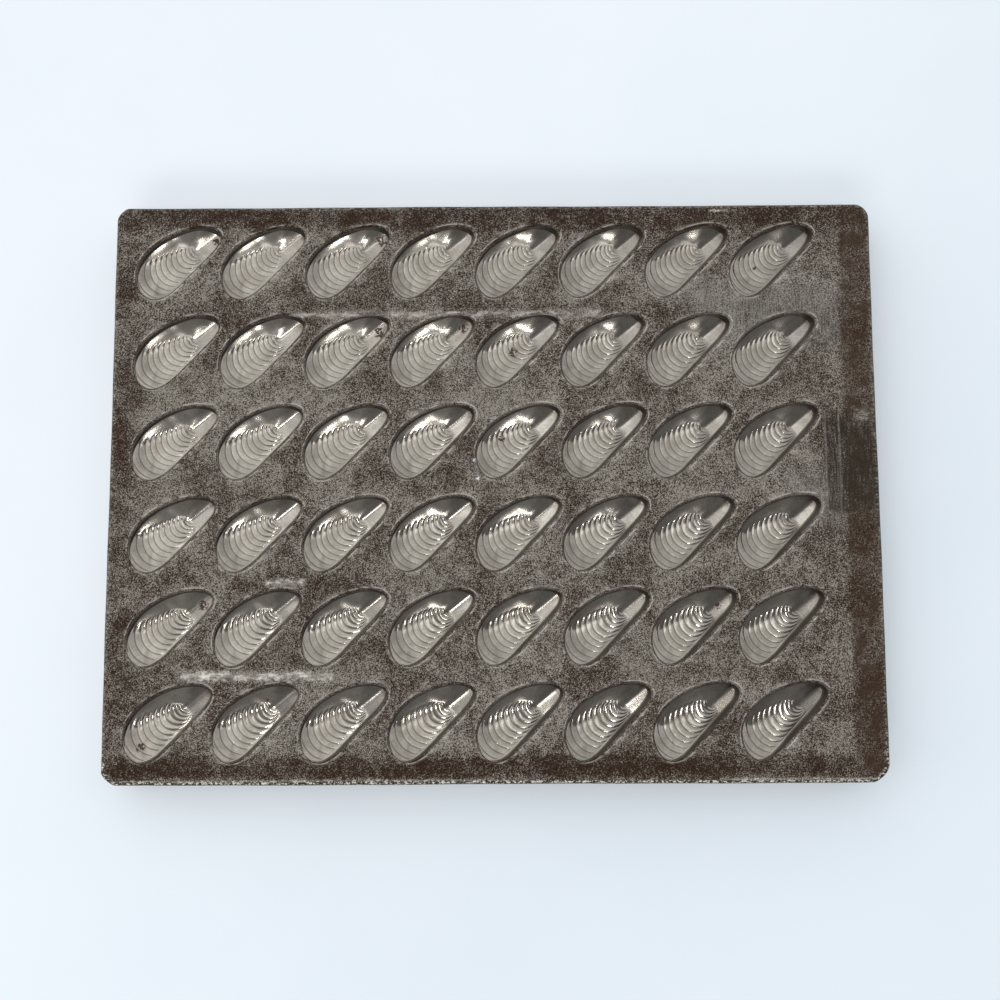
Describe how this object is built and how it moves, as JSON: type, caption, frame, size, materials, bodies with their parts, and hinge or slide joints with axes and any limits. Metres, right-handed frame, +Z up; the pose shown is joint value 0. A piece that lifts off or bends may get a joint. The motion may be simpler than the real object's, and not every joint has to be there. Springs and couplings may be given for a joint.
{
  "type": "chocolate mold",
  "caption": "Flat rectangular metal mold with rows of ridged mussel-shell cavities for casting small chocolates, its sheet edges folded down over a stiffening frame.",
  "frame": {"origin": "middle of the underside, on the surface that the tray stands on", "axes": "+X along the tray, +Y towards the edge that is farther from the camera, +Z up out of the cavities"},
  "size_m": [0.3302, 0.2496, 0.022],
  "materials": {
    "plate_steel": "worn plated steel sheet, stained brown between the cavities",
    "cup_plating": "bright plated stamped sheet, satin from use",
    "frame_iron": "dull tinned flat iron"
  },
  "bodies": {
    "root": {"plate": "plate_steel", "cup_r1_c1": "cup_plating", "cup_r1_c2": "cup_plating", "cup_r1_c3": "cup_plating", "cup_r1_c4": "cup_plating", "cup_r1_c5": "cup_plating", "cup_r1_c6": "cup_plating", "cup_r1_c7": "cup_plating", "cup_r1_c8": "cup_plating", "cup_r2_c1": "cup_plating", "cup_r2_c2": "cup_plating", "cup_r2_c3": "cup_plating", "cup_r2_c4": "cup_plating", "cup_r2_c5": "cup_plating", "cup_r2_c6": "cup_plating", "cup_r2_c7": "cup_plating", "cup_r2_c8": "cup_plating", "cup_r3_c1": "cup_plating", "cup_r3_c2": "cup_plating", "cup_r3_c3": "cup_plating", "cup_r3_c4": "cup_plating", "cup_r3_c5": "cup_plating", "cup_r3_c6": "cup_plating", "cup_r3_c7": "cup_plating", "cup_r3_c8": "cup_plating", "cup_r4_c1": "cup_plating", "cup_r4_c2": "cup_plating", "cup_r4_c3": "cup_plating", "cup_r4_c4": "cup_plating", "cup_r4_c5": "cup_plating", "cup_r4_c6": "cup_plating", "cup_r4_c7": "cup_plating", "cup_r4_c8": "cup_plating", "cup_r5_c1": "cup_plating", "cup_r5_c2": "cup_plating", "cup_r5_c3": "cup_plating", "cup_r5_c4": "cup_plating", "cup_r5_c5": "cup_plating", "cup_r5_c6": "cup_plating", "cup_r5_c7": "cup_plating", "cup_r5_c8": "cup_plating", "cup_r6_c1": "cup_plating", "cup_r6_c2": "cup_plating", "cup_r6_c3": "cup_plating", "cup_r6_c4": "cup_plating", "cup_r6_c5": "cup_plating", "cup_r6_c6": "cup_plating", "cup_r6_c7": "cup_plating", "cup_r6_c8": "cup_plating", "rail_far": "frame_iron", "rail_near": "frame_iron", "rail_right": "frame_iron", "rail_left": "frame_iron", "strip_far": "frame_iron", "strip_near": "frame_iron"}
  },
  "joints": []
}
